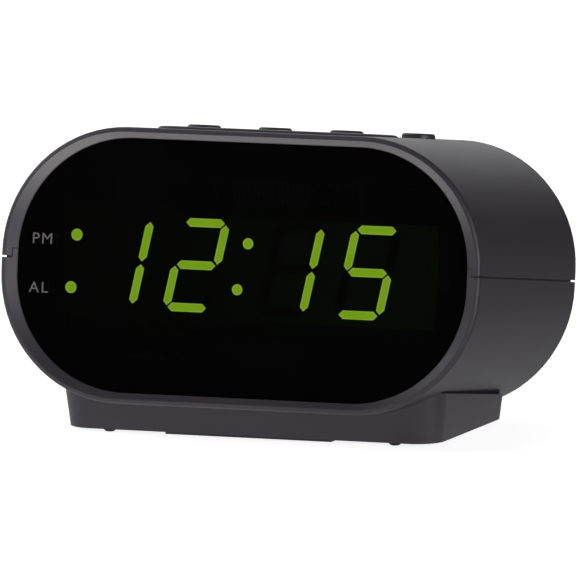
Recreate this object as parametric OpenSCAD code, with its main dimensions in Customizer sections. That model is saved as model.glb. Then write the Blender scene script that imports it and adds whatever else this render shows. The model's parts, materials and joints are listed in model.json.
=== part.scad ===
// Mains alarm clock: a two-shell housing on a wedge foot, with a four-digit display behind a smoked window.
// The housing leans back by the tilt. Its own frame has x across, y from the window back, z up the face.
// The whole clock stands on z = 0, with +Y towards the back.

/* [Housing] */
// Width of the housing
body_w = 123.8; // [112:0.2:150]
// Height of the housing, across its front rim
body_h = 67.6; // [65:0.2:82]
// Depth from the window's face to the back
body_d = 77; // [74:0.2:96]
// How much squarer the housing's ends are than half circles
squareness = 2.3; // [0:0.1:6]
// Lean of the face, in degrees from upright
tilt = 7.6; // [5:0.1:9]
// Gap between the table and the lower edge of the rim, measured upright
rim_lift = 8.4; // [7:0.1:14]
// Wall thickness
wall = 2.2; // [1.8:0.1:2.7]
// Rounding of the back edge
back_r = 5; // [3:0.5:9]
// How far the underside rises towards the back
back_rise = 2.5; // [1.5:0.1:4]
// How far the top rises towards the back
top_rise = 1; // [0:0.1:2]
// Visible groove between the two shells
seam = 0.45; // [0.2:0.05:0.8]
// Height of the groove above the window's centre
seam_v = 1; // [0:0.1:3]
// Height of the tongue that locates the shells
tongue_h = 2; // [1.2:0.1:3]

/* [Front rim] */
// How far the rim stands in front of the window
crest_d = 1.8; // [1:0.1:3]
// Rounding of the rim's outer edge
crest_r = 1; // [0.5:0.1:1.2]
// Width of the rim's front band before the inner slope starts
crest_band = 1.2; // [1:0.1:1.6]

/* [Window] */
// Rim width at the two ends, seen from the front
rim_end = 3.8; // [3.2:0.1:6]
// Rim width above and below, seen from the front
rim_side = 2.65; // [2.5:0.05:5]
// Thickness of the shell's lip around the window
lip_t = 0.6; // [0.5:0.1:1]
// Thickness of the window's flange
lens_t = 1.6; // [1.2:0.1:2.4]

/* [Foot] */
// Half width of the foot at its underside
foot_half_w = 48.3; // [46:0.1:56]
// Depth of the foot at its underside
foot_d = 56.7; // [55:0.1:64]
// Setback of the foot's front edge behind the window's face
foot_front = 4.8; // [3:0.1:8]
// Corner rounding of the foot at the front
foot_r = 7; // [4:0.5:9]
// Corner rounding of the foot at the back
foot_back_r = 9; // [4:0.5:10]
// Height above the housing's lowest line at which the foot joins it
foot_join = 6.2; // [4:0.2:7]
// Draft of the foot's sides, in degrees
foot_draft = 6; // [2:0.5:9]
// Thickness of the foot's floor
floor_t = 3.4; // [3.2:0.1:4.4]
// Height of the rubber nubs under the foot
nub_h = 0.9; // [0.7:0.1:2]
// Radius of a rubber nub
nub_r = 1.5; // [1.2:0.1:3]

/* [Display] */
// Height of a digit
digit_h = 22.9; // [18:0.1:25]
// Width of a lit segment
seg_t = 2.1; // [1.4:0.1:2.6]
// Spacing between a digit's upright segments
digit_w = 10.7; // [8:0.1:11.5]
// Slant of the digits, as sideways run for each unit of height
slant = 0.189; // [0:0.01:0.22]
// Spacing of the two digits of a pair
digit_pitch = 19.6; // [17:0.1:21]
// Shift of the second pair from the first
pair_pitch = 44.25; // [40:0.05:46]
// Height of the digits' centre above the window's centre
digit_v = 0.8; // [-2:0.1:2]
// Width of the display block
block_w = 94.6; // [90:0.1:100]
// Height of the display block
block_h = 25.4; // [25:0.1:30]
// Thickness of the display block
block_t = 6.8; // [5:0.1:9]

/* [Keys] */
// Length of the snooze bar
snooze_l = 61.6; // [40:0.1:66]
// Width of the snooze bar
snooze_w = 13.6; // [10:0.1:15]
// Distance of the snooze bar behind the window's face
snooze_y = 22.5; // [20:0.1:24]
// How far the snooze bar stands above the housing
snooze_proud = 0.9; // [0.5:0.1:2]
// Diameter of a set button
button_d = 8.3; // [6:0.1:10]
// How far a set button stands above the housing
button_proud = 1.8; // [1:0.1:3]
// Distance of the set buttons behind the window's face
button_y = 47; // [46:0.1:50]
// Spacing of the set buttons
button_pitch = 18.7; // [14:0.1:19]
// Travel of the snooze bar and of each button
key_travel = 0.8; // [0.4:0.1:1]
// Half the travel of the alarm switch, which rests at its off end
switch_travel = 1.5; // [1:0.1:2]

/* [Battery] */
// Width of the back-up battery
battery_w = 26.5; // [24:0.1:27]
// Thickness of the back-up battery
battery_t = 17.5; // [15:0.1:18]
// Length of the back-up battery without its terminals
battery_l = 46.4; // [44:0.1:47]
// Width of the battery door
door_w = 43; // [38:0.1:50]

/* [Mains parts] */
// Width of the transformer's core
core_w = 30; // [26:0.1:30.4]
// Height of the transformer's core
core_h = 27; // [24:0.1:30]
// Stack thickness of the transformer's core
core_t = 14; // [10:0.1:16]
// Radius of the buzzer
buzzer_r = 12; // [9:0.1:13]
// Radius of the hole for the mains cord
cord_r = 2.6; // [1.8:0.1:3]

/* [Fits] */
// Gap around a moving key
key_gap = 0.2; // [0.15:0.05:0.4]
// Gap around a piece that is fitted and stays
fit_gap = 0.1; // [0.05:0.01:0.2]

/* [Hidden] */

housing_colour = [0.20, 0.19, 0.21];
board_colour = [0.12, 0.32, 0.18];
steel_colour = [0.62, 0.62, 0.64];
far = 300;
sliver = 0.02;

half_h = body_h / 2;
half_w = body_w / 2;
window_z = rim_lift + half_h;
front_y = -((crest_d - crest_r) * cos(tilt) + (half_h - crest_r) * sin(tilt) + crest_r);
back_y = (body_d - back_r) * cos(tilt) + (half_h + top_rise - back_r) * sin(tilt) + back_r;
window_y = -(front_y + back_y) / 2;

window_w = body_w - 2 * rim_end;
window_h = body_h - 2 * rim_side;
cavity_y = lip_t + lens_t + 0.4;
tongue_y = wall / 2 - crest_d;
rim_step = 0.15;
flange_in = wall - 0.3;
inner_top = half_h - wall;
flat_half = half_w - half_h + squareness;

// The foot, in the upright frame
foot_y0 = window_y + foot_front;
foot_y1 = foot_y0 + foot_d;
floor_z = nub_h + floor_t;
foot_top = window_z - half_h + 10.6;

// The display stack, measured back from the window's face
block_y = cavity_y + 0.6;
board_t = 1.6;
display_y = block_y + block_t;
display_w = block_w + 7;
display_h = 2 * (block_h / 2 + 2.7);
seg_reach = digit_h / 2 - seg_t / 2;
seg_gap = 0.35;
first_x = -(pair_pitch + digit_pitch) / 2 - 0.45;
digit_x = [first_x, first_x + digit_pitch, first_x + pair_pitch, first_x + pair_pitch + digit_pitch];
// Segments a to g as [across, up, is it level], in half widths and half heights of a digit
segments = [[0, 1, true], [0.5, 0.5, false], [0.5, -0.5, false], [0, -1, true],
    [-0.5, -0.5, false], [-0.5, 0.5, false], [0, 0, true]];
// Which segments show twelve fifteen
lit = [[1, 2], [0, 1, 3, 4, 6], [1, 2], [0, 2, 3, 5, 6]];
dots = [[-44.1, 7, 1.45], [-45.1, -5.9, 1.45], [0.4, 6.6, 1.35], [-1.9, -4.7, 1.35]];

// Keys and the main board
key_flange = 1.1;
key_flange_v = inner_top - 0.3 - key_flange;
stem_v = key_flange_v - 1.1;
tact_top = stem_v - key_travel - 0.2;
board_v = tact_top - 4.5 - board_t;
board_y0 = snooze_y - 8.5;
board_l = 53;
board_half_w = 33;
button_x = [for (i = [0:3]) (i - 1.5) * min(button_pitch, 0.62 * flat_half)];
snooze_len = min(snooze_l, 2 * flat_half + 0.8);
post_xy = [[-29.5, 36.5], [29.5, 36.5], [-29.5, 62], [29.5, 62]];
switch_v = board_v - 2.5;

// Screws that hold the shells together
screw_r = 1.45;
screw_xy = [[-40, 20], [40, 20], [-40, 62], [40, 62]];
seat_v = -half_h + 3.8;
screw_top = 9;

// Battery room, in the upright frame
room_y0 = foot_y0 + 2.6;
room_w = battery_w + 2;
room_l = 55.4;
room_z = floor_z + 0.9;
room_h = battery_t + 1;
room_wall = 1.4;
door_y = 3;
door_l = foot_d - door_y - 0.3;
door_drop = 0.5;
rail_t = 0.9;
door_t = 1.6;

// Transformer, in the housing's frame
trafo_x = -32;
trafo_y = 40;
trafo_v = -0.65 * half_h;
plate_t = 0.8;
ear_y = core_t / 2 + 7.5;

// Buzzer, in the upright frame
buzzer_x = 33;
buzzer_y = window_y + 38;
buzzer_h = 6;

// Cord hole in the back wall, in the housing's frame
cord_x = -36;
cord_v = -10;
bush_r = cord_r + 1;

// Rubber nubs, in the upright frame
nub_xy = [[-37, foot_y0 + 3.2], [37, foot_y0 + 3.2], [-32, foot_y1 - 3.5], [32, foot_y1 - 3.5]];
nub_plug = 1.6;

module in_body() translate([0, window_y, window_z]) rotate([-tilt, 0, 0]) children();

module plate_at(y, t) translate([0, y + t, 0]) rotate([90, 0, 0]) linear_extrude(t) children();

// One thin slice of the housing's outline, drawn as its four rounded corners
module hoop(y, inset) {
    share = max(0, min(1, y / body_d));
    h = body_h + (top_rise - back_rise) * share;
    mid = (top_rise + back_rise) / 2 * share;
    r = h / 2 - inset - squareness;
    for (s = [-1, 1], up = [-1, 1])
        translate([s * (half_w - inset - r), y, mid + up * squareness])
            rotate([90, 0, 0]) cylinder(r = r, h = sliver, center = true, $fn = 72);
}

// The housing's solid form, taken in by inset, with rounded front and back edges
module housing_form(inset, front, back) {
    r_front = max(crest_r - inset, 0.1);
    r_back = max(back_r - inset, 0.5);
    hull() for (a = [0, 30, 60, 90]) {
        hoop(front + r_front * (1 - sin(a)), inset + r_front * (1 - cos(a)));
        hoop(back - r_back * (1 - sin(a)), inset + r_back * (1 - cos(a)));
    }
}

module above(v) translate([-far / 2, -far / 2, v]) cube(far);
module below(v) translate([-far / 2, -far / 2, v - far]) cube(far);

// A flat outline with the same squared-off round ends as the housing
module end_shape(w, h) {
    r = h / 2 - squareness;
    square([w, h - 2 * r], center = true);
    square([w - 2 * r, h], center = true);
    for (x = [-1, 1], z = [-1, 1])
        translate([x * (w / 2 - r), z * (h / 2 - r)]) circle(r, $fn = 64);
}

module window_shape(grow) end_shape(window_w + 2 * grow, window_h + 2 * grow);

// The housing's front outline, taken in by inset
module front_outline(inset) end_shape(body_w - 2 * inset, body_h - 2 * inset);

// The inner slope of the rim, the window's opening and the room for its flange
module front_cuts() {
    hull() {
        hoop(-crest_d - sliver, crest_band);
        plate_at(-sliver, sliver) window_shape(rim_step);
    }
    plate_at(-1, lip_t + 1 + sliver) window_shape(0);
    plate_at(lip_t, lens_t + 0.6) front_outline(flange_in - fit_gap);
}

module slot_shape(l, w) {
    square([l - w, w], center = true);
    for (s = [-1, 1]) translate([s * (l - w) / 2, 0]) circle(d = w, $fn = 48);
}

// A channel that holds the end of the display board
module board_channel(dir) {
    for (s = [-1, 1]) difference() {
        translate([s * (display_w / 2 - 1.4), display_y + board_t / 2, dir * (display_h / 2)])
            translate([-1.9, -2.5, dir > 0 ? -8 : 8 - half_h]) cube([3.8, 5, half_h]);
        translate([-far / 2, display_y - fit_gap, dir > 0 ? 0 : -display_h / 2 - fit_gap])
            cube([far, board_t + 2 * fit_gap, display_h / 2 + fit_gap]);
    }
}

// The half-wall form that the tongue and the inner posts reach into
module mid_wall(gap) housing_form(wall / 2 - gap, tongue_y - gap, body_d - wall / 2 + gap);

module upper_shell() color(housing_colour) in_body() difference() {
    union() {
        difference() {
            housing_form(0, -crest_d, body_d);
            below(seam_v + seam / 2);
            housing_form(wall, cavity_y, body_d - wall);
            intersection() {
                mid_wall(fit_gap);
                below(seam_v + tongue_h + fit_gap);
            }
        }
        intersection() {
            mid_wall(0);
            union() {
                for (p = screw_xy) translate([p[0], p[1], seam_v + seam / 2])
                    cylinder(r = 3.5, h = half_h, $fn = 40);
                for (p = post_xy) translate([p[0], p[1], board_v + board_t])
                    cylinder(r = 2.6, h = half_h, $fn = 32);
                board_channel(1);
            }
        }
    }
    front_cuts();
    translate([0, snooze_y, 0])
        linear_extrude(far) slot_shape(snooze_len + 2 * key_gap, snooze_w + 2 * key_gap);
    for (x = button_x) translate([x, button_y, 0])
        cylinder(d = button_d + 2 * key_gap, h = far, $fn = 48);
    for (p = screw_xy) translate([p[0], p[1], 0])
        cylinder(r = screw_r + 0.02, h = screw_top + 1, $fn = 32);
    for (p = post_xy) translate([p[0], p[1], 0]) cylinder(r = 1.12, h = board_v + 8, $fn = 24);
    translate([-6, body_d - 1.1, switch_v - 3]) cube([12, 3, 6]);
    translate([-2.6 - switch_travel, body_d - 9, switch_v - 1.6])
        cube([5.2 + 2 * switch_travel, 12, 3.2]);
}

// The foot's rounded block, taken in by inset
module foot_form(inset, z0) {
    hull() for (z = [z0, foot_top - inset]) {
        g = (z - nub_h) * tan(foot_draft) - inset;
        for (x = [-1, 1], y = [0, 1]) {
            r = (y ? foot_back_r : foot_r) - inset;
            translate([x * (foot_half_w + g - r), y ? foot_y1 + g - r : foot_y0 - g + r, z])
                cylinder(r = r, h = sliver, $fn = 40);
        }
    }
}

module battery_room_walls() {
    translate([-room_w / 2 - room_wall, room_y0 - room_wall, floor_z - 1])
        cube([room_w + 2 * room_wall, room_l + 2 * room_wall, room_z + room_h + room_wall - floor_z + 1]);
}

module battery_room_cuts() {
    translate([-room_w / 2, room_y0, room_z]) cube([room_w, room_l, room_h]);
    translate([-room_w / 2, foot_y0 + 4.5, 0]) cube([room_w, battery_l + 2.8, room_z + 1]);
    translate([-3, room_y0 + room_l - 1, room_z + 8]) cube([6, room_wall + 2, 5]);
    // The door's seat with its rail grooves, then a shallow runway under the housing behind the foot
    translate([-door_w / 2 - fit_gap, foot_y0 + door_y - fit_gap, -1])
        cube([door_w + 2 * fit_gap, foot_d, nub_h + door_t + fit_gap + 1]);
    translate([-door_w / 2 - 1.3, foot_y0 + door_y - fit_gap, nub_h + rail_t])
        cube([door_w + 2.6, foot_d, door_t + fit_gap - rail_t]);
    translate([-door_w / 2 - 1.3, foot_y1 + 0.3, -1])
        cube([door_w + 2.6, body_d / 2, nub_h + door_t + fit_gap + 1]);
}

// The tongue on the lower shell's edge, before it is trimmed to the half wall
module tongue_ring() difference() {
    translate([-half_w, -crest_d, seam_v - 2]) cube([body_w, body_d + crest_d, tongue_h + 2]);
    housing_form(wall, cavity_y, body_d - wall);
}

module lower_shell() color(housing_colour) difference() {
    union() {
        difference() {
            union() {
                in_body() difference() {
                    housing_form(0, -crest_d, body_d);
                    above(seam_v - seam / 2);
                }
                intersection() {
                    foot_form(0, nub_h);
                    in_body() below(-half_h + foot_join);
                }
            }
            in_body() housing_form(wall, cavity_y, body_d - wall);
            foot_form(wall, floor_z);
        }
        in_body() {
            intersection() {
                mid_wall(0);
                union() {
                    board_channel(-1);
                    tongue_ring();
                }
            }
            for (p = screw_xy) translate([p[0], p[1], -half_h - 12])
                cylinder(r = 4, h = half_h + 12 + seam_v - seam / 2, $fn = 40);
            for (s = [-1, 1]) translate([trafo_x, trafo_y + s * ear_y, -half_h - 3])
                cylinder(r = 3, h = trafo_v - plate_t + half_h + 3 - sliver, $fn = 32);
        }
        translate([buzzer_x, buzzer_y, floor_z - 1]) cylinder(r = buzzer_r + 1.5, h = 5, $fn = 48);
        battery_room_walls();
    }
    below(nub_h);
    battery_room_cuts();
    translate([buzzer_x, buzzer_y, floor_z]) {
        cylinder(r = buzzer_r + fit_gap, h = 20, $fn = 48);
        for (i = [0:6]) translate([i ? 5 * cos(60 * i) : 0, i ? 5 * sin(60 * i) : 0, -floor_z])
            cylinder(r = 0.9, h = floor_z + 1, $fn = 16);
    }
    for (p = nub_xy) translate([p[0], p[1], 0]) cylinder(r = nub_r, h = nub_h + nub_plug, $fn = 24);
    in_body() {
        front_cuts();
        for (p = screw_xy) translate([p[0], p[1], -half_h - 20]) {
            cylinder(r = screw_r + 0.3, h = half_h + 22 + seam_v, $fn = 32);
            cylinder(r = 3.2, h = seat_v + half_h + 20, $fn = 32);
        }
        for (s = [-1, 1]) translate([trafo_x, trafo_y + s * ear_y, trafo_v - 6])
            cylinder(r = 1.12, h = 8, $fn = 24);
        translate([cord_x, body_d - wall - 4, cord_v]) rotate([-90, 0, 0])
            cylinder(r = bush_r + fit_gap, h = 12, $fn = 40);
    }
}

module window_lens() color([0.02, 0.02, 0.02]) in_body() {
    plate_at(0, lip_t) window_shape(-fit_gap);
    plate_at(lip_t, lens_t) front_outline(flange_in);
}

// One segment, a bar with pointed ends, lying level or upright
module segment(level) {
    l = (level ? digit_w : seg_reach) - seg_gap * 2;
    a = seg_t / 2;
    rotate(level ? 0 : 90) polygon([[-l / 2, 0], [-l / 2 + a, a], [l / 2 - a, a],
        [l / 2, 0], [l / 2 - a, -a], [-l / 2 + a, -a]]);
}

// Every segment and dot whose state matches on, as a flat outline
module face_marks(on) {
    for (d = [0:3], s = [0:6]) if ((len(search(s, lit[d])) > 0) == on) {
        up = segments[s][1] * seg_reach;
        translate([digit_x[d] + segments[s][0] * digit_w + slant * up, digit_v + up])
            multmatrix([[1, segments[s][2] ? 0 : slant, 0, 0], [0, 1, 0, 0], [0, 0, 1, 0]])
                segment(segments[s][2]);
    }
    if (on) for (d = dots) translate([d[0], d[1]]) circle(d[2], $fn = 32);
}

module display_block() color([0.13, 0.15, 0.12]) in_body() difference() {
    translate([-block_w / 2, block_y, -block_h / 2 + 0.2]) cube([block_w, block_t, block_h]);
    plate_at(block_y - 1, block_t + 2) {
        face_marks(true);
        face_marks(false);
    }
}

module lit_segments() color([0.62, 0.9, 0.12]) in_body() plate_at(block_y, 0.6) face_marks(true);
module dark_segments() color([0.10, 0.13, 0.08]) in_body() plate_at(block_y, 0.6) face_marks(false);

module led_at(x, v) translate([x - 0.6, display_y - 0.8, v - 0.6]) cube([1.2, 0.8, 1.2]);

module led_chips() color([0.9, 0.88, 0.6]) in_body() {
    for (d = [0:3], s = segments) {
        up = s[1] * seg_reach;
        led_at(digit_x[d] + s[0] * digit_w + slant * up, digit_v + up);
    }
    for (d = dots) led_at(d[0], d[1]);
}

module display_board() color(board_colour) in_body()
    translate([-display_w / 2, display_y, -display_h / 2]) cube([display_w, board_t, display_h]);

module ribbon_cable() color([0.75, 0.75, 0.72]) in_body() translate([-10, 0, 0]) {
    r = 3;
    t = 0.6;
    y0 = display_y + board_t;
    y1 = board_y0 + 6;
    v0 = display_h / 2 - 6;
    translate([0, y0, v0]) cube([20, y1 - y0 - r, t]);
    translate([0, y1 - t, v0 + r]) cube([20, t, board_v - v0 - r]);
    translate([0, y1 - r, v0 + r]) rotate([90, 0, 90]) intersection() {
        difference() {
            cylinder(r = r, h = 20, $fn = 32);
            translate([0, 0, -1]) cylinder(r = r - t, h = 22, $fn = 32);
        }
        translate([0, -r, 0]) cube([r, r, 20]);
    }
}

module main_board() color(board_colour) in_body() difference() {
    translate([-board_half_w, board_y0, board_v]) cube([2 * board_half_w, board_l, board_t]);
    for (p = post_xy) translate([p[0], p[1], board_v - 1]) cylinder(r = 1.3, h = 4, $fn = 24);
}

module clock_chip() color([0.08, 0.08, 0.09]) in_body() translate([-26, 32.4, board_v]) {
    translate([0, 0, -4]) cube([36, 9, 3.4]);
    for (i = [0:13], y = [-0.8, 9]) translate([1.2 + i * 2.54, y, -3]) cube([0.6, 0.8, 3]);
}

module capacitors() color([0.10, 0.12, 0.30]) in_body()
    for (c = [[18, 27, 5, 12], [18, 41, 5, 12], [-16, 27, 4, 9]])
        translate([c[0], c[1], board_v - c[3] - 0.5]) {
            cylinder(r = c[2], h = c[3], $fn = 40);
            for (s = [-1, 1]) translate([s * 1.5, 0, c[3] - 0.2]) cylinder(r = 0.3, h = 0.7, $fn = 16);
        }

module diodes() color([0.10, 0.10, 0.10]) in_body()
    for (i = [0:3]) translate([-4 + i * 4.5, 24, board_v - 1.6]) {
        rotate([-90, 0, 0]) cylinder(r = 1.2, h = 5, $fn = 24);
        for (y = [-1.6, 6]) translate([0, y, -0.3]) cylinder(r = 0.35, h = 1.9, $fn = 16);
        translate([0, -1.9, 0]) rotate([-90, 0, 0]) cylinder(r = 0.35, h = 8.2, $fn = 16);
    }

module tact_switches() color([0.15, 0.15, 0.16]) in_body()
    for (p = concat([[0, snooze_y]], [for (x = button_x) [x, button_y]]))
        translate([p[0], p[1], board_v + board_t]) {
            translate([-3, -3, 0]) cube([6, 6, 3.5]);
            cylinder(r = 1.75, h = 4.5, $fn = 32);
        }

module alarm_switch() color(steel_colour) in_body() difference() {
    translate([-6, board_y0 + board_l - 7, board_v - 5]) cube([12, 6.4, 5]);
    translate([-1.2 - switch_travel - key_gap, board_y0 + board_l - 4, switch_v - 1 - key_gap])
        cube([2.4 + 2 * (switch_travel + key_gap), 4, 2 + 2 * key_gap]);
}

module alarm_knob() color([0.13, 0.13, 0.14]) in_body() translate([-switch_travel, 0, 0]) {
    arm_y = board_y0 + board_l - 3.6;
    translate([-1.2, arm_y, switch_v - 1]) cube([2.4, body_d - wall + 1 - arm_y, 2]);
    translate([-2.4, body_d - wall - 0.6, switch_v - 1.3]) cube([4.8, wall + 0.3, 2.6]);
    for (i = [-1, 0, 1]) translate([i * 1.5 - 0.3, body_d - 0.4, switch_v - 1.3]) cube([0.6, 0.3, 2.6]);
}

module snooze_bar() color(housing_colour) in_body() translate([0, snooze_y, 0]) {
    top = half_h + snooze_proud;
    translate([0, 0, key_flange_v]) linear_extrude(key_flange) slot_shape(snooze_len + 2.4, snooze_w + 2.4);
    translate([0, 0, key_flange_v]) linear_extrude(top - 0.5 - key_flange_v) slot_shape(snooze_len, snooze_w);
    hull() {
        translate([0, 0, top - 0.5]) linear_extrude(sliver) slot_shape(snooze_len, snooze_w);
        translate([0, 0, top - 0.15]) linear_extrude(sliver) slot_shape(snooze_len - 0.7, snooze_w - 0.7);
        translate([0, 0, top - sliver]) linear_extrude(sliver) slot_shape(snooze_len - 2.2, snooze_w - 2.2);
    }
    translate([0, 0, stem_v]) cylinder(r = 2.2, h = key_flange_v - stem_v + sliver, $fn = 32);
}

// A round push button with a flange under the shell and a stem above its switch
module push_button(i) color(housing_colour) in_body() translate([button_x[i], button_y, 0]) {
    r = button_d / 2;
    top = half_h + button_proud;
    rotate_extrude($fn = 48) polygon([[0, stem_v], [2, stem_v], [2, key_flange_v], [r + 1, key_flange_v],
        [r + 1, key_flange_v + key_flange], [r, key_flange_v + key_flange], [r, top - 0.4], [r - 0.4, top],
        [r - 1, top], [r - 1.6, top - 0.25], [0, top - 0.35]]);
}

module time_button() push_button(0);
module alarm_button() push_button(1);
module hour_button() push_button(2);
module minute_button() push_button(3);

// A pan-head screw that points up, with its head's seat at the origin
module screw(r, l, head_r, head_h) {
    cylinder(r = r, h = l, $fn = 32);
    difference() {
        translate([0, 0, -head_h]) cylinder(r = head_r, h = head_h, $fn = 32);
        for (a = [0, 90]) rotate(a) translate([-head_r * 0.6, -0.35, -head_h - 1])
            cube([head_r * 1.2, 0.7, 1 + head_h * 0.55]);
    }
}

module board_screws() color(steel_colour) in_body()
    for (p = post_xy) translate([p[0], p[1], board_v]) screw(1.1, 7, 2.2, 1.4);

module housing_screws() color(steel_colour) in_body()
    for (p = screw_xy) translate([p[0], p[1], seat_v]) screw(screw_r, screw_top - seat_v, 2.8, 1.8);

module at_trafo(up) in_body() translate([trafo_x, trafo_y, trafo_v + up]) children();

module transformer_core() color([0.30, 0.31, 0.33]) at_trafo(0) difference() {
    translate([-core_w / 2, -core_t / 2, 0]) cube([core_w, core_t, core_h]);
    for (s = [-1, 1]) translate([s * core_w * 0.25 - core_w * 0.09, -core_t, core_h * 0.18])
        cube([core_w * 0.18, 2 * core_t, core_h * 0.64]);
}

module transformer_coil() color([0.80, 0.62, 0.20]) at_trafo(core_h / 2) difference() {
    w = core_w * 0.68 - 0.4;
    h = core_h * 0.64 - 0.4;
    translate([-w / 2, -core_t / 2 - 5, -h / 2]) cube([w, core_t + 10, h]);
    translate([-core_w * 0.16 - 0.1, -core_t / 2 - fit_gap, -h])
        cube([core_w * 0.32 + 0.2, core_t + 2 * fit_gap, 2 * h]);
}

module transformer_bracket() color(steel_colour) at_trafo(-plate_t) {
    strap_w = core_w + 2 * plate_t + 0.2;
    translate([-strap_w / 2, -5, 0]) cube([strap_w, 10, plate_t]);
    difference() {
        translate([-5, -ear_y - 3.5, 0]) cube([10, 2 * ear_y + 7, plate_t]);
        for (s = [-1, 1]) translate([0, s * ear_y, -2]) cylinder(r = 1.4, h = 4, $fn = 24);
    }
    for (x = [-strap_w / 2, strap_w / 2 - plate_t]) translate([x, -5, 0]) cube([plate_t, 10, core_h * 0.7]);
}

module transformer_screws() color(steel_colour) at_trafo(0)
    for (s = [-1, 1]) translate([0, s * ear_y, 0]) mirror([0, 0, 1]) screw(1.1, 6, 2.2, 1.4);

module buzzer() color([0.10, 0.10, 0.11]) translate([buzzer_x, buzzer_y, floor_z + 0.2]) difference() {
    union() {
        cylinder(r = buzzer_r, h = buzzer_h, $fn = 48);
        translate([0, 0, buzzer_h]) cylinder(r = buzzer_r - 2, h = 0.8, $fn = 48);
    }
    translate([0, 0, -1]) cylinder(r = 2, h = 3, $fn = 24);
}

module backup_battery() color([0.12, 0.20, 0.30]) translate([0, room_y0 + 0.5, room_z + 0.3]) {
    translate([-battery_w / 2, 0, 0]) cube([battery_w, battery_l, battery_t]);
    for (s = [-1, 1]) translate([s * 6.35, battery_l, battery_t / 2]) rotate([-90, 0, 0])
        cylinder(r = s > 0 ? 2.8 : 3.6, h = 2.1, $fn = 32);
}

module battery_snap() color([0.09, 0.09, 0.09])
    translate([0, room_y0 + 0.5 + battery_l, room_z + 0.3 + battery_t / 2]) difference() {
        translate([-12.5, 0.4, -6]) cube([25, 5, 12]);
        for (s = [-1, 1]) translate([s * 6.35, 0, 0]) rotate([-90, 0, 0])
            cylinder(r = s > 0 ? 2.9 : 3.7, h = 2.3, $fn = 32);
    }

// A thin insulated wire along straight runs with round knees
module wire(points, r) {
    for (i = [0:len(points) - 2]) {
        run = points[i + 1] - points[i];
        translate(points[i]) rotate([0, acos(run[2] / norm(run)), atan2(run[1], run[0])])
            cylinder(r = r, h = norm(run), $fn = 16);
    }
    for (i = [1:len(points) - 2]) translate(points[i]) sphere(r = r * 1.15, $fn = 16);
}

wire_r = 0.6;
snap_y = room_y0 + 0.5 + battery_l + 5.4;
riser_y = room_y0 + room_l + 2.7;

// Height of the main board's underside above the table, at a given distance back
function board_z(y) = window_z + board_v * cos(tilt) - (y - window_y + 2) * sin(tilt) - 1;

module battery_leads() color([0.7, 0.1, 0.1])
    for (s = [-1, 1]) wire([[s * 1.4, snap_y, room_z + 10], [s * 1.4, riser_y, room_z + 10],
        [s * 1.4, riser_y, room_z + 26], [s * 6, riser_y - 13.8, window_z + 8],
        [s * 6, riser_y - 13.8, board_z(riser_y - 13.8)]], wire_r);

module buzzer_leads() color([0.2, 0.2, 0.2])
    for (s = [-1, 1]) wire([[buzzer_x + s * 2, buzzer_y, floor_z + buzzer_h + 1],
        [buzzer_x + s * 2, buzzer_y, window_z - 10], [26 + s * 1.5, buzzer_y + 4, window_z + 4],
        [26 + s * 1.5, buzzer_y + 4, board_z(buzzer_y + 5)]], wire_r);

module transformer_leads() color([0.75, 0.45, 0.1]) in_body() {
    y0 = trafo_y - core_t / 2 - 2.5;
    y1 = trafo_y + 5;
    for (s = [-1, 1]) wire([[trafo_x + s * 3, y0, trafo_v + core_h * 0.82 - 0.2],
        [trafo_x + s * 3, y0, trafo_v + core_h + 3], [-28 + s * 2, y1, board_v - 7],
        [-28 + s * 2, y1, board_v]], wire_r);
}

// The door hangs a little below the foot, with a thin lip under the foot's front edge
module battery_door() color(housing_colour) translate([0, foot_y0, 0]) difference() {
    union() {
        translate([-door_w / 2, door_y, nub_h - door_drop]) cube([door_w, door_l, door_t + door_drop]);
        translate([-door_w / 2, 0.3, nub_h - door_drop]) cube([door_w, door_y, door_drop - 0.05]);
        translate([-door_w / 2 - 1.1, door_y + 1, nub_h + rail_t + fit_gap])
            cube([door_w + 2.2, door_l - 2, door_t - rail_t - fit_gap]);
    }
    for (i = [0:4]) translate([-8, 8 + i * 2.2, nub_h - door_drop - 1]) cube([16, 1, 1.4]);
}

module cord_bush() color([0.08, 0.08, 0.08])
    in_body() translate([cord_x, body_d, cord_v]) rotate([-90, 0, 0]) difference() {
        union() {
            translate([0, 0, -wall - 1.6]) cylinder(r = bush_r, h = wall + 2.6, $fn = 40);
            translate([0, 0, sliver]) cylinder(r = bush_r + 1.6, h = 1, $fn = 40);
            translate([0, 0, -wall - 1.6]) cylinder(r = bush_r + 0.9, h = 1.5, $fn = 40);
        }
        translate([0, 0, -wall - 3]) cylinder(r = cord_r, h = wall + 6, $fn = 40);
    }

module rubber_nubs() color([0.07, 0.07, 0.07])
    for (p = nub_xy) translate([p[0], p[1], 0])
        rotate_extrude($fn = 24) polygon([[0, 0], [nub_r * 0.55, 0], [nub_r * 0.85, nub_h * 0.2],
            [nub_r, nub_h * 0.55], [nub_r, nub_h + nub_plug], [0, nub_h + nub_plug]]);

upper_shell();
lower_shell();
window_lens();
display_block();
lit_segments();
dark_segments();
led_chips();
display_board();
ribbon_cable();
main_board();
clock_chip();
capacitors();
diodes();
tact_switches();
alarm_switch();
alarm_knob();
snooze_bar();
time_button();
alarm_button();
hour_button();
minute_button();
board_screws();
transformer_core();
transformer_coil();
transformer_bracket();
transformer_screws();
transformer_leads();
buzzer();
buzzer_leads();
backup_battery();
battery_snap();
battery_leads();
battery_door();
cord_bush();
housing_screws();
rubber_nubs();
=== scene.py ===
"""A bedside alarm clock: a charcoal two-shell housing that leans back on a wedge foot,
with a lit four-digit display behind a smoked window, a snooze bar and set buttons."""
import json
import math

import bmesh
import bpy
from mathutils import Matrix, Vector


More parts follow.
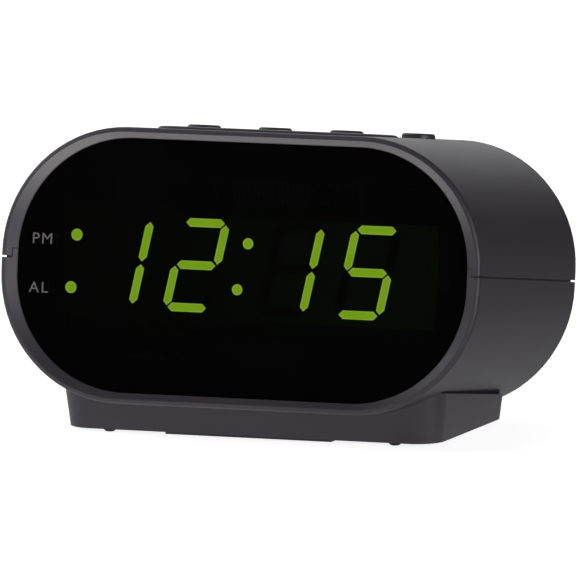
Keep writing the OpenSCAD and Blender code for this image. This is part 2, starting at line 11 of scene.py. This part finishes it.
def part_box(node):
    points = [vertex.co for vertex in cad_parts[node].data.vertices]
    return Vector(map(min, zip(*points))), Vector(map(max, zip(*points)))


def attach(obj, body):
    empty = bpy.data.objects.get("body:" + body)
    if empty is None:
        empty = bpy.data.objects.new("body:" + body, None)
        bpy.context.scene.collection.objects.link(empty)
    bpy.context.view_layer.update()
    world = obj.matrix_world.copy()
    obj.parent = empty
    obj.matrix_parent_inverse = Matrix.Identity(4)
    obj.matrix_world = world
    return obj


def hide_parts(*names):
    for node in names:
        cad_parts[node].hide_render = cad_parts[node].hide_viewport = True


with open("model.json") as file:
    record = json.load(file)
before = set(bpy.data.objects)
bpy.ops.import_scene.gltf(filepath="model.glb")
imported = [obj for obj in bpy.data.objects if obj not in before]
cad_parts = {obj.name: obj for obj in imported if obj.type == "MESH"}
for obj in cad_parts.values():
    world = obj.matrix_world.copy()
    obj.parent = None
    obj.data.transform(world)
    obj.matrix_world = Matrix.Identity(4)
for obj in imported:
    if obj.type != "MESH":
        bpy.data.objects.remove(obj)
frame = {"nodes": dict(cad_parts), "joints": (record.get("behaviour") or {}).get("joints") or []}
bpy.context.view_layer.update()
nodes = frame["nodes"]


# --- Camera ---------------------------------------------------------------------------
# A long lens, three metres off to the clock's right and a little above it.
# The housing's lean gives the window's own across, up and outward directions.
press = next(joint for joint in frame["joints"] if joint["name"] == "snooze_bar_press")
across = Vector((1, 0, 0))
face_up = -Vector(press["axis"])
face_out = across.cross(face_up)
lean = math.atan2(face_up.y, face_up.z)

lens_low, lens_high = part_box("window_lens")
lens_size = lens_high - lens_low
lens_depth = (lens_size.y * math.cos(lean) - lens_size.z * math.sin(lean)) / math.cos(2 * lean)
face_centre = (lens_low + lens_high) / 2 + face_out * lens_depth / 2

azimuth = math.radians(19.6)
elevation = math.radians(7.3)
camera_distance = 3.0
view_width = 0.14015
aim_right = 0.01143
aim_down = 0.0042
view_back = Vector((math.sin(azimuth) * math.cos(elevation),
                    -math.cos(azimuth) * math.cos(elevation), math.sin(elevation)))
view_right = Vector((math.cos(azimuth), math.sin(azimuth), 0))
view_up = view_back.cross(view_right)

camera_data = bpy.data.cameras.new("camera")
camera_data.lens = camera_data.sensor_width * camera_distance / view_width
camera = bpy.data.objects.new("camera", camera_data)
bpy.context.scene.collection.objects.link(camera)
camera.rotation_mode = "QUATERNION"
camera.rotation_quaternion = (-view_back).to_track_quat("-Z", "Y")
aim = face_centre + view_right * aim_right - view_up * aim_down
camera.location = aim + view_back * camera_distance
bpy.context.scene.camera = camera


# --- Lower shell ----------------------------------------------------------------------
# The lower half of the housing and the wedge foot, one injection moulding in charcoal
# satin plastic. A fine spark-eroded grain covers its outside; its edges are barely broken.
weld_gap = 2e-6
sharp_angle = math.radians(31)
charcoal = (0.037, 0.0315, 0.044)
charcoal_pale = (0.044, 0.0375, 0.052)
# Painted highlight: a pale tone put on the rim's inner slope under the top, where it would reflect
# the bright floor.
rim_slope_painted_highlight = (0.27, 0.255, 0.26)
slope_faces = (0.0, -0.72, -0.69)
slope_low = 0.034
slope_high = 0.056
grain_size = 0.00028
grain_depth = 0.000012
cloud_size = 0.014
edge_round = 0.00022


class Strand:
    """A value on its way through a material's nodes. Sums on it add Math nodes."""

    def __init__(self, tree, socket=None):
        self.tree = tree
        self.socket = socket

    def node(self, kind, setup=None, fill=None, out=0):
        """Adds a node, fills its sockets with values or strands, and returns an output."""
        made = self.tree.nodes.new(kind)
        for name, value in (setup or {}).items():
            setattr(made, name, value)
        for name, value in (fill or {}).items():
            if isinstance(value, Strand):
                self.tree.links.new(value.socket, made.inputs[name])
            else:
                made.inputs[name].default_value = value
        return Strand(self.tree, made.outputs[out] if made.outputs else None)

    def maths(self, operation, *terms):
        return self.node("ShaderNodeMath", {"operation": operation}, dict(enumerate(terms)))

    def __add__(self, other):
        return self.maths("ADD", self, other)

    def __sub__(self, other):
        return self.maths("SUBTRACT", self, other)

    def __rsub__(self, other):
        return self.maths("SUBTRACT", other, self)

    def __mul__(self, other):
        return self.maths("MULTIPLY", self, other)

    def __gt__(self, other):
        return self.maths("GREATER_THAN", self, other)

    __radd__ = __add__
    __rmul__ = __mul__


def finish(name):
    """A new material and the empty start of its strands."""
    material = bpy.data.materials.new(name)
    material.use_nodes = True
    material.node_tree.nodes.clear()
    return material, Strand(material.node_tree)


def coat(start, fill):
    """Ends a finish in one shader with these socket values."""
    shader = start.node("ShaderNodeBsdfPrincipled", {}, fill)
    start.node("ShaderNodeOutputMaterial", {}, {"Surface": shader})


def object_place(start):
    return start.node("ShaderNodeTexCoord", out="Object")


def clouds(start, place, size, detail=2.0, rough=0.5):
    """Soft noise from 0 to 1, with features about one size across."""
    return start.node("ShaderNodeTexNoise", {}, {
        "Vector": place, "Scale": 1 / size, "Detail": detail, "Roughness": rough})


def blend(start, share, first, second):
    """A colour between two colours."""
    return start.node("ShaderNodeMix", {"data_type": "RGBA"}, {
        0: share, 6: (*first, 1) if isinstance(first, tuple) else first,
        7: (*second, 1) if isinstance(second, tuple) else second}, 2)


def stretch(start, value, low, high):
    """The part of a value between low and high, spread smoothly from 0 to 1."""
    return start.node("ShaderNodeMapRange", {"interpolation_type": "SMOOTHSTEP"}, {
        "Value": value, "From Min": low, "From Max": high})


def relief(start, height, depth, strength=1.0, under=None):
    """A surface normal raised by a height from 0 to 1."""
    fill = {"Strength": strength, "Distance": depth, "Height": height}
    if under is not None:
        fill["Normal"] = under
    return start.node("ShaderNodeBump", {}, fill)


def moulded(name, dark, pale, satin):
    """Moulded plastic: a fine grain, slow clouds of tone and sheen, and broken edges.
    The rim's inner slope under the top is given a painted highlight, a paler tone where it faces
    down and forward."""
    material, start = finish(name)
    place = object_place(start)
    grains = clouds(start, place, grain_size, 2.0, 0.62)
    tone = clouds(start, place, cloud_size, 3.0)
    specks = stretch(start, clouds(start, place, grain_size * 2.2, 1.0), 0.62, 0.8)
    edges = start.node("ShaderNodeBevel", {"samples": 4}, {"Radius": edge_round})
    surface = start.node("ShaderNodeTexCoord", out="Normal")
    facing = start.node("ShaderNodeVectorMath", {"operation": "DOT_PRODUCT"}, {
        0: surface, 1: slope_faces}, "Value")
    height = start.node("ShaderNodeSeparateXYZ", {}, {"Vector": place}, "Z")
    # Painted highlight mask: surfaces facing down and forward at the rim's height.
    painted_highlight = stretch(start, facing, 0.55, 0.93) * stretch(start, height, slope_low, slope_high)
    body = blend(start, stretch(start, tone + 0.35 * specks, 0.3, 0.85), dark, pale)
    coat(start, {
        "Base Color": blend(start, painted_highlight * (0.75 + 0.5 * (grains - 0.5)), body, rim_slope_painted_highlight),
        "Roughness": satin + 0.07 * (tone - 0.5) + 0.10 * (grains - 0.5),
        "IOR": 1.5,
        "Normal": relief(start, grains + 0.5 * specks, grain_depth, 0.8, edges)})
    return material


def skin(node, body, material):
    """The node's own form as a shown piece, its facets welded and smoothed up to sharp edges."""
    form = bmesh.new()
    form.from_mesh(nodes[node].data)
    bmesh.ops.remove_doubles(form, verts=form.verts, dist=weld_gap)
    bmesh.ops.dissolve_degenerate(form, dist=weld_gap, edges=form.edges)
    mesh = bpy.data.meshes.new(node + "_skin")
    form.to_mesh(mesh)
    form.free()
    for layer in ("custom_normal", "sharp_face", "sharp_edge"):
        if layer in mesh.attributes:
            mesh.attributes.remove(mesh.attributes[layer])
    mesh.shade_smooth()
    mesh.set_sharp_from_angle(angle=sharp_angle)
    mesh.materials.clear()
    mesh.materials.append(material)
    piece = bpy.data.objects.new(node + "_skin", mesh)
    bpy.context.scene.collection.objects.link(piece)
    weighted = piece.modifiers.new("Weighted", "WEIGHTED_NORMAL")
    weighted.keep_sharp = True
    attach(piece, body)
    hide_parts(node)


housing_plastic = moulded("charcoal_satin", charcoal, charcoal_pale, 0.47)
skin("lower_shell", "housing", housing_plastic)


# --- Feet and cord inlet ----------------------------------------------------------------
# Four soft rubber nubs are pressed into the foot, and a rubber bush snaps into the hole
# for the mains cord in the back wall. Both are matt black with a dusty bloom.
rubber, start = finish("black_rubber")
place = object_place(start)
bloom = clouds(start, place, 0.0012, 3.0)
coat(start, {
    "Base Color": blend(start, bloom, (0.012, 0.012, 0.012), (0.024, 0.023, 0.022)),
    "Roughness": 0.72 + 0.16 * bloom,
    "Normal": relief(start, clouds(start, place, 0.0003), 0.00001)})
skin("rubber_nubs", "housing", rubber)
skin("cord_bush", "housing", rubber)


def dress(node, material):
    """Gives a node that keeps its own shape its finish."""
    for holder in nodes[node].material_slots:
        holder.material = material


# --- Transformer ------------------------------------------------------------------------
# Varnished steel laminations round a taped coil, held to two posts by a plated strap
# and two screws. Two tinned leads run up to the main board.
lamination = 0.0005

laminated, start = finish("varnished_laminations")
place = object_place(start)
sheets = start.node("ShaderNodeTexWave", {"bands_direction": "Y"}, {
    "Vector": place, "Scale": 0.5 / lamination / math.pi, "Distortion": 0.6, "Detail": 1.0}, 1)
rust = stretch(start, clouds(start, place, 0.004, 4.0), 0.58, 0.75)
coat(start, {
    "Base Color": blend(start, rust, (0.060, 0.058, 0.060), (0.14, 0.075, 0.045)),
    "Metallic": 0.6 - 0.4 * rust,
    "Roughness": 0.38 + 0.3 * rust,
    "Normal": relief(start, sheets, 0.00006)})
dress("transformer_core", laminated)

taped, start = finish("coil_tape")
place = object_place(start)
layers = start.node("ShaderNodeTexWave", {"bands_direction": "Z"}, {
    "Vector": place, "Scale": 45.0, "Distortion": 1.5, "Detail": 2.0}, 1)
wrinkles = clouds(start, place, 0.0018, 3.0)
coat(start, {
    "Base Color": blend(start, layers, (0.46, 0.27, 0.035), (0.62, 0.40, 0.07)),
    "Roughness": 0.30 + 0.2 * wrinkles,
    "Normal": relief(start, layers + 0.4 * wrinkles, 0.00008)})
dress("transformer_coil", taped)


def plated(name, pale, dull, scratch_size):
    """Plated steel with fine drawn scratches and cloudy passivation."""
    material, start = finish(name)
    place = object_place(start)
    drawn = start.node("ShaderNodeMapping", {}, {"Vector": place, "Scale": (1, 0.06, 0.3)})
    scratches = clouds(start, drawn, scratch_size, 4.0, 0.7)
    haze = clouds(start, place, 0.003, 3.0)
    coat(start, {
        "Base Color": blend(start, haze, pale, dull),
        "Metallic": 1.0,
        "Roughness": 0.22 + 0.2 * scratches + 0.12 * haze,
        "Normal": relief(start, scratches, 0.000006)})
    return material


zinc = plated("zinc_plate", (0.66, 0.66, 0.68), (0.48, 0.47, 0.44), 0.0002)
dress("transformer_bracket", zinc)
dress("transformer_screws", zinc)


def sleeved(name, dark, pale):
    """Vinyl wire insulation, slightly waxy, with faint bands along it."""
    material, start = finish(name)
    place = object_place(start)
    bands = clouds(start, place, 0.0016, 2.0)
    coat(start, {
        "Base Color": blend(start, bands, dark, pale),
        "Roughness": 0.32 + 0.15 * bands,
        "Normal": relief(start, clouds(start, place, 0.0004), 0.000008)})
    return material


dress("transformer_leads", sleeved("amber_wire", (0.42, 0.16, 0.02), (0.56, 0.24, 0.04)))


# --- Buzzer -----------------------------------------------------------------------------
# A black moulded sounder drops into a ring over the sound holes in the foot's floor.
# Its two grey leads run up to the main board.
def resin(name, dark, pale, gloss):
    """Small black mouldings and epoxy bodies: flow lines under a dull gloss."""
    material, start = finish(name)
    place = object_place(start)
    flow = start.node("ShaderNodeTexNoise", {}, {
        "Vector": place, "Scale": 420.0, "Detail": 3.0, "Distortion": 1.2})
    coat(start, {
        "Base Color": blend(start, flow, dark, pale),
        "Roughness": gloss + 0.18 * flow,
        "Normal": relief(start, clouds(start, place, 0.00025), 0.000008)})
    return material


black_resin = resin("black_resin", (0.012, 0.012, 0.013), (0.024, 0.024, 0.026), 0.35)
dress("buzzer", black_resin)
dress("buzzer_leads", sleeved("grey_wire", (0.08, 0.08, 0.08), (0.13, 0.13, 0.13)))


# --- Back-up battery ----------------------------------------------------------------------
# A plain nine-volt block in a lacquered can lies in its room, with a snap of black vinyl
# over its terminals and red leads up to the board.
can_low, can_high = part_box("backup_battery")
can_y = can_low.y + 0.62 * (can_high.y - can_low.y)

lacquer, start = finish("battery_lacquer")
place = object_place(start)
along = start.node("ShaderNodeSeparateXYZ", {}, {"Vector": place}, "Y")
upper_band = along > can_y
scuffs = stretch(start, clouds(start, place, 0.0022, 5.0, 0.7), 0.60, 0.72)
coat(start, {
    "Base Color": blend(start, scuffs * 0.5,
                        blend(start, upper_band, (0.018, 0.03, 0.07), (0.42, 0.30, 0.13)),
                        (0.30, 0.29, 0.28)),
    "Metallic": 0.25 + 0.5 * scuffs,
    "Roughness": 0.28 + 0.3 * scuffs,
    "Normal": relief(start, scuffs, -0.00001)})
dress("backup_battery", lacquer)
dress("battery_snap", black_resin)
dress("battery_leads", sleeved("red_wire", (0.30, 0.016, 0.012), (0.44, 0.035, 0.02)))


# --- Main board ---------------------------------------------------------------------------
# A green solder-masked board hangs from four posts by plated screws. Copper tracks show
# as a raised pattern under the mask. It carries the clock chip, capacitors and switches.
track_pitch = 0.0021

masked, start = finish("solder_mask")
place = object_place(start)
tracks = start.node("ShaderNodeTexBrick", {"offset": 0.35}, {
    "Vector": place, "Scale": 0.25 / track_pitch, "Mortar Size": 0.045, "Mortar Smooth": 0.3,
    "Brick Width": 1.4, "Row Height": 0.36}, 1)
pads = stretch(start, start.node("ShaderNodeTexVoronoi", {}, {
    "Vector": place, "Scale": 0.5 / track_pitch, "Randomness": 0.35}), 0.20, 0.14)
copper = start.maths("MAXIMUM", tracks, pads)
weave = clouds(start, place, 0.0006, 2.0)
coat(start, {
    "Base Color": blend(start, copper, (0.008, 0.055, 0.018), (0.022, 0.15, 0.045)),
    "Roughness": 0.24 + 0.16 * weave,
    "Normal": relief(start, copper + 0.15 * weave, 0.00003)})
dress("main_board", masked)
dress("clock_chip", black_resin)
dress("diodes", black_resin)
dress("tact_switches", black_resin)
dress("alarm_switch", zinc)
dress("board_screws", zinc)

sleeve, start = finish("capacitor_sleeve")
place = object_place(start)
stripe = start.node("ShaderNodeTexWave", {"bands_direction": "X"}, {
    "Vector": place, "Scale": 50.0, "Distortion": 0.0}, 1) > 0.86
shrink = clouds(start, place, 0.0009, 2.0)
coat(start, {
    "Base Color": blend(start, stripe, (0.012, 0.018, 0.075), (0.30, 0.31, 0.33)),
    "Roughness": 0.22 + 0.15 * shrink,
    "Normal": relief(start, shrink, 0.00003)})
dress("capacitors", sleeve)


# --- Display ------------------------------------------------------------------------------
# Light-emitting chips on a board shine forward through tapering slots in a dark block.
# Thin tinted diffusers close the slots; those in use glow yellow-green, palest at the edge.
dress("display_board", masked)

chip_resin, start = finish("led_resin")
place = object_place(start)
cast = clouds(start, place, 0.0004, 2.0)
coat(start, {
    "Base Color": blend(start, cast, (0.60, 0.55, 0.22), (0.78, 0.74, 0.40)),
    "Roughness": 0.18 + 0.15 * cast,
    "Emission Color": (0.35, 0.62, 0.03, 1),
    "Emission Strength": 0.4})
dress("led_chips", chip_resin)

strand_pitch = 0.00127
vinyl, start = finish("ribbon_vinyl")
place = object_place(start)
strands = start.node("ShaderNodeTexWave", {"bands_direction": "X"}, {
    "Vector": place, "Scale": 0.5 / strand_pitch / math.pi * 2, "Distortion": 0.0}, 1)
coat(start, {
    "Base Color": blend(start, strands, (0.30, 0.30, 0.29), (0.52, 0.52, 0.50)),
    "Roughness": 0.38 + 0.1 * strands,
    "Normal": relief(start, strands, 0.0002)})
dress("ribbon_cable", vinyl)

block_low, block_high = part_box("display_block")
painted_glow_left = block_low.x + 0.05 * (block_high.x - block_low.x)
painted_glow_right = block_high.x

# The block's matt face is given a painted glow of stray green light, stronger towards the hour's
# end.
block_plastic, start = finish("display_block_matt")
place = object_place(start)
side = start.node("ShaderNodeSeparateXYZ", {}, {"Vector": place}, "X")
toward = stretch(start, side, painted_glow_left, painted_glow_right)
patches = clouds(start, place, 0.012, 3.0)
# Painted glow: how strong the stray green light painted on the block is at each point.
painted_stray_glow = (0.25 + 0.75 * toward) * (0.6 + 0.8 * patches)
coat(start, {
    "Base Color": blend(start, patches, (0.010, 0.012, 0.009), (0.016, 0.019, 0.013)),
    "Roughness": 0.62 + 0.2 * patches,
    "Emission Color": blend(start, painted_stray_glow, (0.0, 0.0, 0.0), (0.011, 0.026, 0.0025)),
    "Emission Strength": 1.0,
    "Normal": relief(start, clouds(start, place, 0.0004), 0.00001)})
dress("display_block", block_plastic)

unlit, start = finish("unlit_diffuser")
place = object_place(start)
frost = clouds(start, place, 0.0005, 2.0)
coat(start, {
    "Base Color": blend(start, frost, (0.004, 0.005, 0.003), (0.007, 0.009, 0.005)),
    "Roughness": 0.4 + 0.2 * frost})
dress("dark_segments", unlit)

rim_of_light = 0.00042
lit_form = bmesh.new()
lit_form.from_mesh(nodes["lit_segments"].data)
bmesh.ops.remove_doubles(lit_form, verts=lit_form.verts, dist=weld_gap)
bmesh.ops.dissolve_limit(lit_form, angle_limit=math.radians(1),
                         verts=lit_form.verts, edges=lit_form.edges)
glow = lit_form.verts.layers.float.new("glow")
fronts = [f for f in lit_form.faces if f.normal.dot(face_out) > 0.99]
for vertex in lit_form.verts:
    vertex[glow] = 0.0
bmesh.ops.inset_individual(lit_form, faces=fronts, thickness=rim_of_light, use_even_offset=True)
for face in fronts:
    for vertex in face.verts:
        vertex[glow] = 1.0
lit_mesh = bpy.data.meshes.new("lit_diffusers")
lit_form.to_mesh(lit_mesh)
lit_form.free()
lit_mesh.materials.clear()

glowing, start = finish("lit_diffuser")
place = object_place(start)
core = start.node("ShaderNodeAttribute", {"attribute_name": "glow"}, out="Fac")
uneven = clouds(start, place, 0.0045, 1.0)
level = 0.75 * core + 0.4 * (uneven - 0.35)
coat(start, {
    "Base Color": (0.10, 0.16, 0.01, 1),
    "Roughness": 0.35 + 0.1 * uneven,
    "Emission Color": blend(start, level, (0.62, 1.0, 0.10), (0.40, 0.85, 0.005)),
    "Emission Strength": 5.2})
lit_mesh.materials.append(glowing)
lit_diffusers = bpy.data.objects.new("lit_diffusers", lit_mesh)
bpy.context.scene.collection.objects.link(lit_diffusers)
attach(lit_diffusers, "housing")
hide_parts("lit_segments")


# --- Window -------------------------------------------------------------------------------
# Smoked acrylic, polished, with a flange trapped behind the shells' lip. It lets about a
# quarter of the light through, and mirrors the dark room in front of the clock.
smoked, start = finish("smoked_acrylic")
place = object_place(start)
wipe = start.node("ShaderNodeMapping", {}, {"Vector": place, "Scale": (1, 1, 0.35)})
film = stretch(start, clouds(start, wipe, 0.018, 5.0, 0.6), 0.45, 0.8)
coat(start, {
    "Base Color": blend(start, film, (0.0016, 0.0016, 0.0016), (0.0026, 0.0026, 0.0026)),
    "Roughness": 0.025 + 0.05 * film,
    "IOR": 1.49,
    "Alpha": 0.74,
    "Normal": relief(start, clouds(start, place, 0.03, 1.0), 0.00002)})
skin("window_lens", "housing", smoked)

# The two indicator labels are screen-printed on the window in light grey ink, which is given a
# painted glow.
label_height = 0.0026
label_width = 0.0050
ink_lift = 0.00003
letter_depth = 0.004

ink_with_painted_glow, start = finish("grey_ink_painted_glow")
place = object_place(start)
screen = clouds(start, place, 0.0002, 2.0)
coat(start, {
    "Base Color": blend(start, screen, (0.46, 0.44, 0.44), (0.62, 0.60, 0.60)),
    "Roughness": 0.55 + 0.2 * screen,
    # Painted glow: the ink shines a little by itself, so it stays bright against the window's dark
    # reflection.
    "Emission Color": (0.38, 0.36, 0.36, 1),
    "Emission Strength": 0.9})


def printed(word, right_of_centre, above_centre):
    """A word in plain capitals, printed flat on the window's face."""
    lettering = bpy.data.curves.new(word, "FONT")
    lettering.body = word
    lettering.size = 1.0
    lettering.extrude = letter_depth
    lettering.space_character = 1.2
    shaped = bpy.data.objects.new(word, lettering)
    bpy.context.scene.collection.objects.link(shaped)
    bpy.context.view_layer.update()
    mesh = bpy.data.meshes.new_from_object(shaped)
    bpy.data.objects.remove(shaped)
    xs = [v.co.x for v in mesh.vertices]
    ys = [v.co.y for v in mesh.vertices]
    grow_x = label_width / (max(xs) - min(xs))
    grow_y = label_height / (max(ys) - min(ys))
    centre = Vector(((max(xs) + min(xs)) / 2, (max(ys) + min(ys)) / 2, 0))
    turn = Matrix((across, face_up, face_out)).transposed().to_4x4()
    spot = face_centre + across * right_of_centre + face_up * above_centre + face_out * ink_lift / 2
    grow = Matrix.Diagonal((grow_x, grow_y, ink_lift / (2 * letter_depth), 1))
    mesh.transform(Matrix.Translation(spot) @ turn @ grow @ Matrix.Translation(-centre))
    mesh.materials.clear()
    mesh.materials.append(ink_with_painted_glow)
    piece = bpy.data.objects.new("label_" + word.lower(), mesh)
    bpy.context.scene.collection.objects.link(piece)
    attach(piece, "housing")


printed("PM", -0.0519, 0.0058)
printed("AL", -0.0524, -0.0062)


# --- Upper shell and keys -----------------------------------------------------------------
# The upper half of the housing closes over a tongue on the lower one, leaving a fine
# groove. The snooze bar and four round set buttons rise through it on their own stems.
key_plastic = moulded("charcoal_keys", (0.038, 0.034, 0.043), (0.044, 0.040, 0.050), 0.42)
skin("upper_shell", "housing", housing_plastic)
for key in ("snooze_bar", "time_button", "alarm_button", "hour_button", "minute_button"):
    skin(key, key, key_plastic)


# --- Alarm knob, battery door and screws ----------------------------------------------------
# The alarm switch's ribbed knob slides in a slot in the back. The door closes the battery
# room from below on two rails, and blackened screws clamp the shells from underneath.
knob_plastic = moulded("black_knob", (0.011, 0.011, 0.012), (0.018, 0.018, 0.019), 0.40)
skin("alarm_knob", "alarm_knob", knob_plastic)
skin("battery_door", "battery_door", housing_plastic)
blackened = plated("black_oxide", (0.13, 0.13, 0.135), (0.075, 0.07, 0.068), 0.00025)
skin("housing_screws", "housing", blackened)


# --- Studio -------------------------------------------------------------------------------
# A plain pale floor under three softboxes. The surroundings are bright behind the clock,
# weaker at its sides, and dark in front, so that the polished window stays black.
floor_radius = 6.0
floor_form = bmesh.new()
bmesh.ops.create_circle(floor_form, cap_ends=True, segments=96, radius=floor_radius)
floor_mesh = bpy.data.meshes.new("floor")
floor_form.to_mesh(floor_mesh)
floor_form.free()
floor = bpy.data.objects.new("floor", floor_mesh)
bpy.context.scene.collection.objects.link(floor)
paper, start = finish("pale_paper")
place = object_place(start)
fibres = clouds(start, place, 0.02, 4.0)
seen_paper = start.node("ShaderNodeBsdfPrincipled", {}, {
    "Base Color": blend(start, fibres, (0.86, 0.86, 0.86), (0.90, 0.90, 0.90)),
    "Roughness": 0.85 + 0.1 * fibres,
    "Emission Color": (1, 1, 1, 1),
    "Emission Strength": 0.84})
east = start.node("ShaderNodeSeparateXYZ", {}, {"Vector": place}, "X")
north = start.node("ShaderNodeSeparateXYZ", {}, {"Vector": place}, "Y")
in_front = stretch(start, 0 - north, 0.0, 0.25)
at_left = stretch(start, 0 - east, -0.16, 0.04)
floor_glow = 0.08 + 0.52 * in_front + 0.4 * at_left
lit_paper = start.node("ShaderNodeBsdfPrincipled", {}, {
    "Base Color": (0.0, 0.0, 0.0, 1),
    "Roughness": 1.0,
    "Emission Color": blend(start, floor_glow, (0.0, 0.0, 0.0), (1.0, 1.0, 1.0)),
    "Emission Strength": 1.5})
start.node("ShaderNodeOutputMaterial", {}, {"Surface": start.node("ShaderNodeMixShader", {}, {
    0: start.node("ShaderNodeLightPath", out="Is Camera Ray"), 1: lit_paper, 2: seen_paper})})
floor_mesh.materials.append(paper)


lit_point = Vector((0, 0, 0.04))


def softbox(name, spot, size, power):
    """A square area light that faces the clock."""
    data = bpy.data.lights.new(name, "AREA")
    data.shape = "SQUARE"
    data.size = size
    data.energy = power
    lamp = bpy.data.objects.new(name, data)
    bpy.context.scene.collection.objects.link(lamp)
    lamp.location = spot
    toward_clock = lit_point - Vector(spot)
    lamp.rotation_mode = "QUATERNION"
    lamp.rotation_quaternion = toward_clock.to_track_quat("-Z", "Y")


softbox("overhead", (-0.8, -0.5, 1.8), 1.6, 5.0)
softbox("left", (-1.7, -0.5, 1.1), 1.0, 8.0)
softbox("right", (1.8, -1.0, 0.35), 1.0, 20.0)

world = bpy.data.worlds.new("studio")
world.use_nodes = True
world.node_tree.nodes.clear()
bpy.context.scene.world = world
start = Strand(world.node_tree)
direction = start.node("ShaderNodeTexCoord", out="Generated")
east = start.node("ShaderNodeSeparateXYZ", {}, {"Vector": direction}, "X")
north = start.node("ShaderNodeSeparateXYZ", {}, {"Vector": direction}, "Y")
zenith = start.node("ShaderNodeSeparateXYZ", {}, {"Vector": direction}, "Z")
behind = stretch(start, north, 0.15, 0.85) * stretch(start, 0 - east, -0.20, 0.12)
to_left = stretch(start, 0 - east, 0.35, 0.95)
overhead = stretch(start, zenith, 0.35, 0.9)
to_right = stretch(start, east, 0.40, 0.95) * stretch(start, 0 - north, -0.75, 0.30)
light = 0.008 + 1.25 * behind + 0.45 * to_left + 0.04 * overhead + 0.16 * to_right
lit_world = start.node("ShaderNodeBackground", {}, {"Strength": light})
seen_world = start.node("ShaderNodeBackground", {}, {"Strength": 1.0})
lit_world.node("ShaderNodeOutputWorld", {}, {"Surface": start.node("ShaderNodeMixShader", {}, {
    0: start.node("ShaderNodeLightPath", out="Is Camera Ray"), 1: lit_world, 2: seen_world})})
bpy.context.scene.view_settings.view_transform = "Standard"
